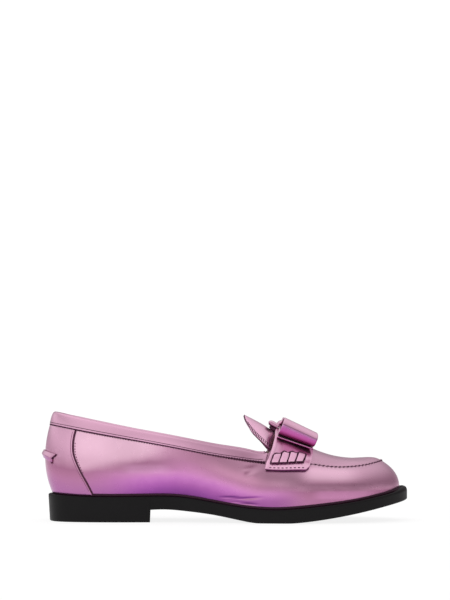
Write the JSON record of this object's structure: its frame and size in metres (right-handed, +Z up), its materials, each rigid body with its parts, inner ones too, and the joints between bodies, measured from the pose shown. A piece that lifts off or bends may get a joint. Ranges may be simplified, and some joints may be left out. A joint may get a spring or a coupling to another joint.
{
  "type": "bow loafer",
  "caption": "Low-heeled slip-on loafer for the right foot in metallic leather, with a moccasin apron, laced saddle strap, flat ribbon bow, tongue and moulded rubber sole.",
  "frame": {"origin": "on the floor, under the middle of the shoe's length and width", "axes": "+X from heel to toe, +Y from the outer side to the inner side, +Z up"},
  "size_m": [0.2642, 0.0904, 0.079],
  "materials": {
    "upper_leather": "metallic pink foil, soft gloss",
    "lining_leather": "plain beige lining, matt",
    "sole_rubber": "black, smooth satin"
  },
  "bodies": {
    "root": {"sole": "sole_rubber", "insole": "lining_leather", "upper": "upper_leather", "heel_counter": "upper_leather", "collar_band": "upper_leather", "heel_tab": "upper_leather", "tongue": "upper_leather", "saddle_strap": "upper_leather", "strap_lace_outer_1": "upper_leather", "strap_lace_outer_2": "upper_leather", "strap_lace_outer_3": "upper_leather", "strap_lace_outer_4": "upper_leather", "strap_lace_inner_1": "upper_leather", "strap_lace_inner_2": "upper_leather", "strap_lace_inner_3": "upper_leather", "strap_lace_inner_4": "upper_leather", "bow_base": "upper_leather", "bow_loops": "upper_leather", "bow_knot": "upper_leather"}
  },
  "joints": []
}
